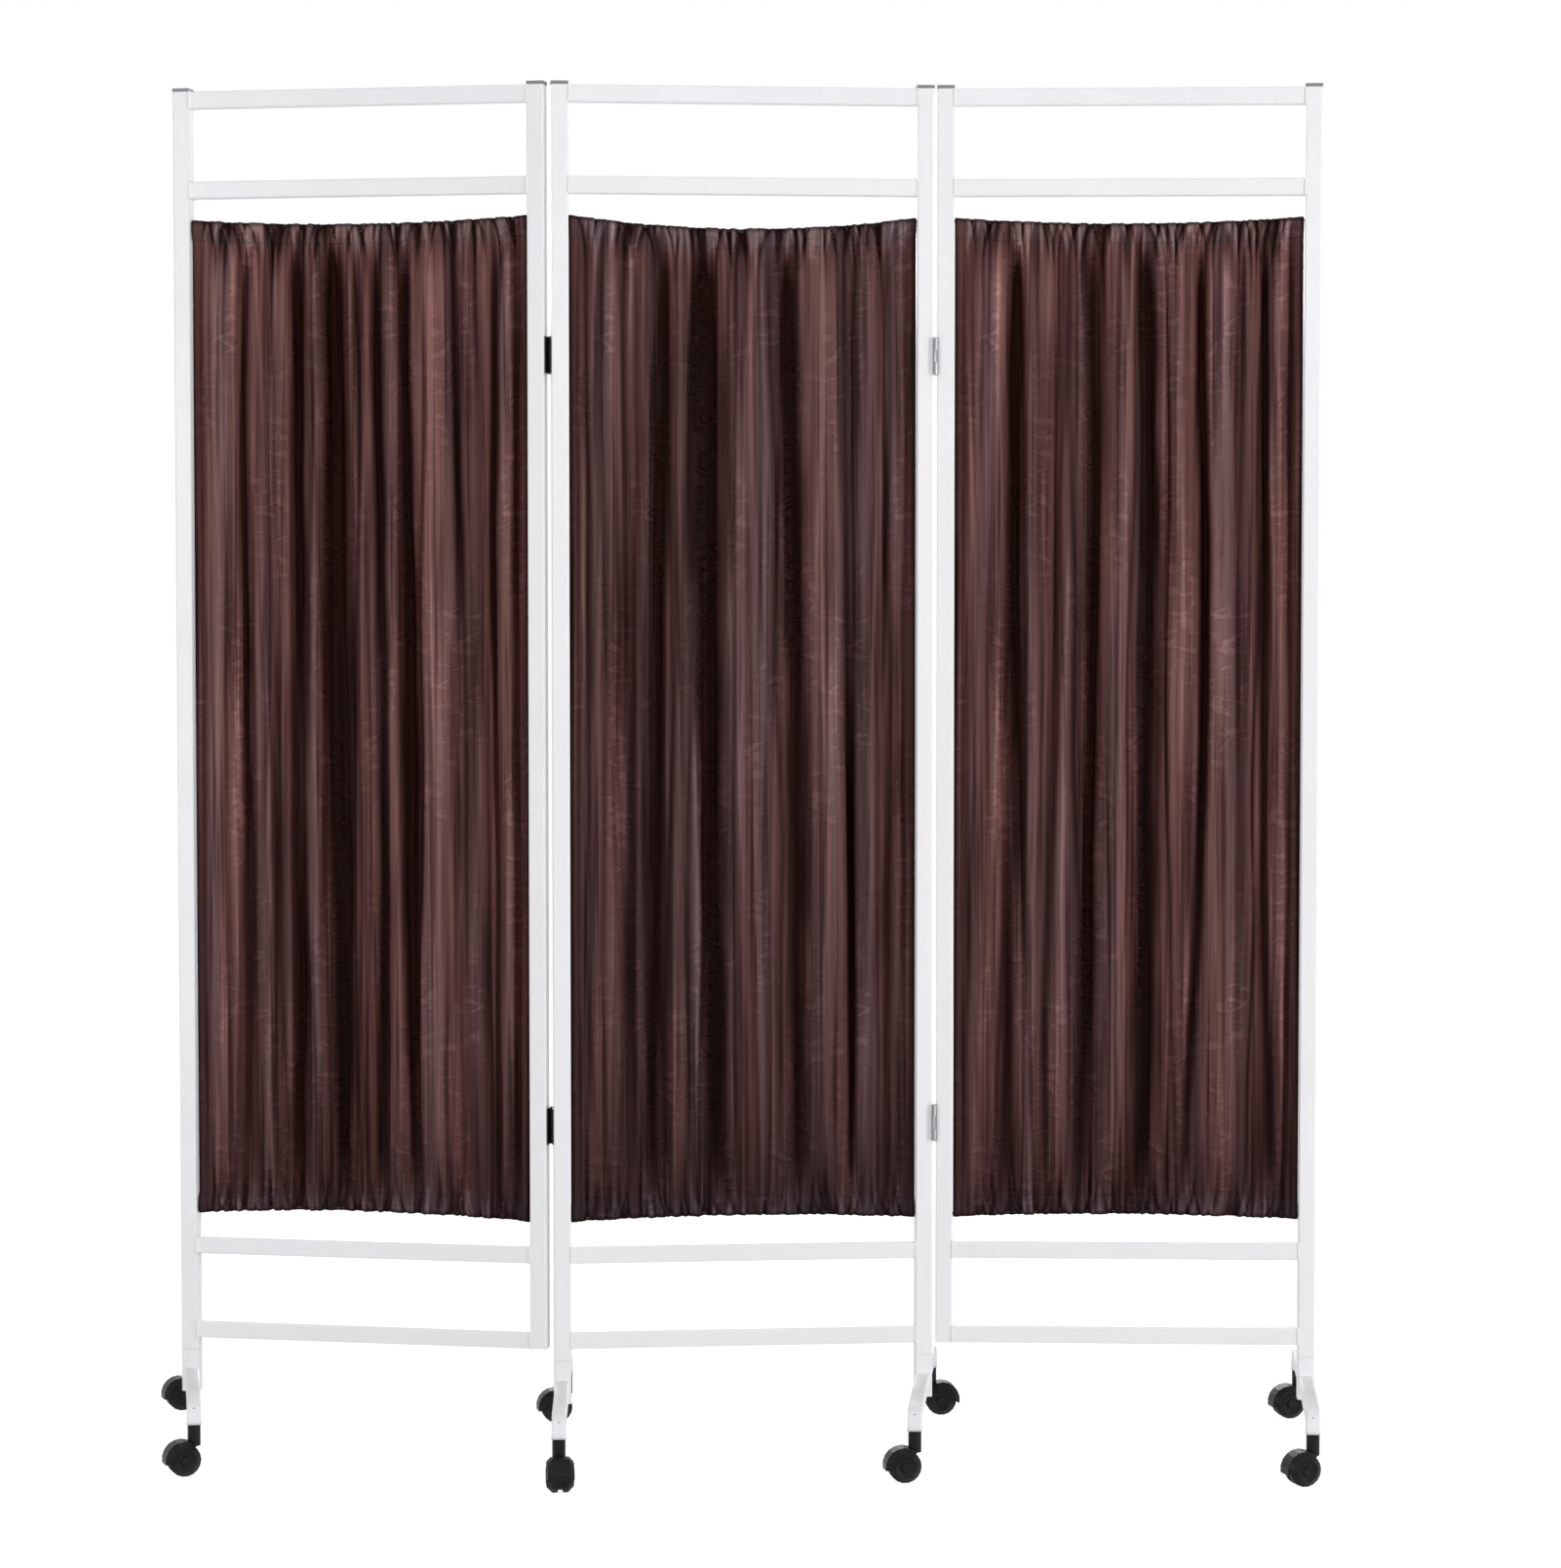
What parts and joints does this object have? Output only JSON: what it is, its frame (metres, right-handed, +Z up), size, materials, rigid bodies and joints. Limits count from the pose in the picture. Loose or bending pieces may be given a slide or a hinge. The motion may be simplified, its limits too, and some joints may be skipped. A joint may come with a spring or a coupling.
{
  "type": "privacy screen",
  "caption": "Folding ward privacy screen with hinged tube-frame panels, gathered curtains and splayed feet on twin-wheel casters",
  "frame": {"origin": "on the floor, under the middle of the whole screen's bounding box", "axes": "+Z up; +X along the middle panel to the right as seen from the front; +Y to the rear, so the front faces -Y"},
  "size_m": [1.5572, 0.6698, 1.782],
  "materials": {
    "frame_paint": "smooth white powder coat",
    "cap_plastic": "matt grey moulding",
    "curtain_cloth": "dark brown woven polyester, gathered",
    "elastic_cord": "braided cover over an elastic core",
    "hinge_black": "black enamel",
    "hinge_zinc": "dull zinc plate",
    "caster_plastic": "moulded black nylon, slight sheen",
    "wheel_plastic": "moulded black nylon tread, satin"
  },
  "bodies": {
    "left_panel": {"left_panel_outer_upright": "frame_paint", "left_panel_outer_cap": "cap_plastic", "left_panel_inner_upright": "frame_paint", "left_panel_inner_cap": "cap_plastic", "left_panel_top_rail": "frame_paint", "left_panel_second_rail": "frame_paint", "left_panel_lower_rail": "frame_paint", "left_panel_bottom_rail": "frame_paint", "left_panel_curtain": "curtain_cloth", "left_panel_curtain_cord": "elastic_cord", "left_outer_foot": "frame_paint", "left_upper_hinge_moving_leaf": "hinge_black", "left_lower_hinge_moving_leaf": "hinge_black"},
    "middle_panel": {"middle_panel_left_upright": "frame_paint", "middle_panel_left_cap": "cap_plastic", "middle_panel_right_upright": "frame_paint", "middle_panel_right_cap": "cap_plastic", "middle_panel_top_rail": "frame_paint", "middle_panel_second_rail": "frame_paint", "middle_panel_lower_rail": "frame_paint", "middle_panel_bottom_rail": "frame_paint", "middle_panel_curtain": "curtain_cloth", "middle_panel_curtain_cord": "elastic_cord", "middle_left_foot": "frame_paint", "middle_right_foot": "frame_paint", "left_upper_hinge_fixed_leaf": "hinge_black", "left_lower_hinge_fixed_leaf": "hinge_black", "right_upper_hinge_fixed_leaf": "hinge_zinc", "right_lower_hinge_fixed_leaf": "hinge_zinc"},
    "right_panel": {"right_panel_inner_upright": "frame_paint", "right_panel_inner_cap": "cap_plastic", "right_panel_outer_upright": "frame_paint", "right_panel_outer_cap": "cap_plastic", "right_panel_top_rail": "frame_paint", "right_panel_second_rail": "frame_paint", "right_panel_lower_rail": "frame_paint", "right_panel_bottom_rail": "frame_paint", "right_panel_curtain": "curtain_cloth", "right_panel_curtain_cord": "elastic_cord", "right_outer_foot": "frame_paint", "right_upper_hinge_moving_leaf": "hinge_zinc", "right_lower_hinge_moving_leaf": "hinge_zinc"},
    "left_outer_front_caster_fork": {"left_outer_front_caster_housing": "caster_plastic"},
    "left_outer_front_caster_wheelset": {"left_outer_front_caster_wheels": "wheel_plastic"},
    "left_outer_rear_caster_fork": {"left_outer_rear_caster_housing": "caster_plastic"},
    "left_outer_rear_caster_wheelset": {"left_outer_rear_caster_wheels": "wheel_plastic"},
    "middle_left_front_caster_fork": {"middle_left_front_caster_housing": "caster_plastic"},
    "middle_left_front_caster_wheelset": {"middle_left_front_caster_wheels": "wheel_plastic"},
    "middle_left_rear_caster_fork": {"middle_left_rear_caster_housing": "caster_plastic"},
    "middle_left_rear_caster_wheelset": {"middle_left_rear_caster_wheels": "wheel_plastic"},
    "middle_right_front_caster_fork": {"middle_right_front_caster_housing": "caster_plastic"},
    "middle_right_front_caster_wheelset": {"middle_right_front_caster_wheels": "wheel_plastic"},
    "middle_right_rear_caster_fork": {"middle_right_rear_caster_housing": "caster_plastic"},
    "middle_right_rear_caster_wheelset": {"middle_right_rear_caster_wheels": "wheel_plastic"},
    "right_outer_front_caster_fork": {"right_outer_front_caster_housing": "caster_plastic"},
    "right_outer_front_caster_wheelset": {"right_outer_front_caster_wheels": "wheel_plastic"},
    "right_outer_rear_caster_fork": {"right_outer_rear_caster_housing": "caster_plastic"},
    "right_outer_rear_caster_wheelset": {"right_outer_rear_caster_wheels": "wheel_plastic"}
  },
  "joints": [
    {"name": "left_panel_fold", "type": "hinge", "parent": "middle_panel", "child": "left_panel", "pos_m": [-0.25559, -0.01649, 0.931], "axis": [0, 0, 1], "range_deg": [-103.7, 16.3]},
    {"name": "right_panel_fold", "type": "hinge", "parent": "middle_panel", "child": "right_panel", "pos_m": [0.24481, -0.04509, 0.931], "axis": [0, 0, 1], "range_deg": [-106.5, 8.5]},
    {"name": "left_outer_front_caster_swivel", "type": "hinge", "parent": "left_panel", "child": "left_outer_front_caster_fork", "pos_m": [-0.71771, -0.1051, 0.05668], "axis": [0, 0, 1], "continuous": true},
    {"name": "left_outer_front_caster_roll", "type": "hinge", "parent": "left_outer_front_caster_fork", "child": "left_outer_front_caster_wheelset", "pos_m": [-0.73126, -0.10865, 0.02068], "axis": [0.2538, -0.9673, 0], "continuous": true},
    {"name": "left_outer_rear_caster_swivel", "type": "hinge", "parent": "left_panel", "child": "left_outer_rear_caster_fork", "pos_m": [-0.73769, 0.31843, 0.05668], "axis": [0, 0, 1], "continuous": true},
    {"name": "left_outer_rear_caster_roll", "type": "hinge", "parent": "left_outer_rear_caster_fork", "child": "left_outer_rear_caster_wheelset", "pos_m": [-0.75123, 0.31488, 0.02068], "axis": [0.2538, -0.9673, 0], "continuous": true},
    {"name": "middle_left_front_caster_swivel", "type": "hinge", "parent": "middle_panel", "child": "middle_left_front_caster_fork", "pos_m": [-0.25842, -0.24222, 0.05668], "axis": [0, 0, 1], "continuous": true},
    {"name": "middle_left_front_caster_roll", "type": "hinge", "parent": "middle_left_front_caster_fork", "child": "middle_left_front_caster_wheelset", "pos_m": [-0.25793, -0.25621, 0.02068], "axis": [0.9994, 0.0349, 0], "continuous": true},
    {"name": "middle_left_rear_caster_swivel", "type": "hinge", "parent": "middle_panel", "child": "middle_left_rear_caster_fork", "pos_m": [-0.22737, 0.18064, 0.05668], "axis": [0, 0, 1], "continuous": true},
    {"name": "middle_left_rear_caster_roll", "type": "hinge", "parent": "middle_left_rear_caster_fork", "child": "middle_left_rear_caster_wheelset", "pos_m": [-0.24129, 0.17918, 0.02068], "axis": [0.1045, -0.9945, 0], "continuous": true},
    {"name": "middle_right_front_caster_swivel", "type": "hinge", "parent": "middle_panel", "child": "middle_right_front_caster_fork", "pos_m": [0.19311, -0.23917, 0.05668], "axis": [0, 0, 1], "continuous": true},
    {"name": "middle_right_front_caster_roll", "type": "hinge", "parent": "middle_right_front_caster_fork", "child": "middle_right_front_caster_wheelset", "pos_m": [0.17914, -0.24015, 0.02068], "axis": [0.0698, -0.9976, 0], "continuous": true},
    {"name": "middle_right_rear_caster_swivel", "type": "hinge", "parent": "middle_panel", "child": "middle_right_rear_caster_fork", "pos_m": [0.27111, 0.17759, 0.05668], "axis": [0, 0, 1], "continuous": true},
    {"name": "middle_right_rear_caster_roll", "type": "hinge", "parent": "middle_right_rear_caster_fork", "child": "middle_right_rear_caster_wheelset", "pos_m": [0.28511, 0.17759, 0.02068], "axis": [0, 1, 0], "continuous": true},
    {"name": "right_outer_front_caster_swivel", "type": "hinge", "parent": "right_panel", "child": "right_outer_front_caster_fork", "pos_m": [0.69063, -0.31149, 0.05668], "axis": [0, 0, 1], "continuous": true},
    {"name": "right_outer_front_caster_roll", "type": "hinge", "parent": "right_outer_front_caster_fork", "child": "right_outer_front_caster_wheelset", "pos_m": [0.67691, -0.31428, 0.02068], "axis": [0.1994, -0.9799, 0], "continuous": true},
    {"name": "right_outer_rear_caster_swivel", "type": "hinge", "parent": "right_panel", "child": "right_outer_rear_caster_fork", "pos_m": [0.7679, 0.10541, 0.05668], "axis": [0, 0, 1], "continuous": true},
    {"name": "right_outer_rear_caster_roll", "type": "hinge", "parent": "right_outer_rear_caster_fork", "child": "right_outer_rear_caster_wheelset", "pos_m": [0.75399, 0.10383, 0.02068], "axis": [0.1132, -0.9936, 0], "continuous": true}
  ]
}
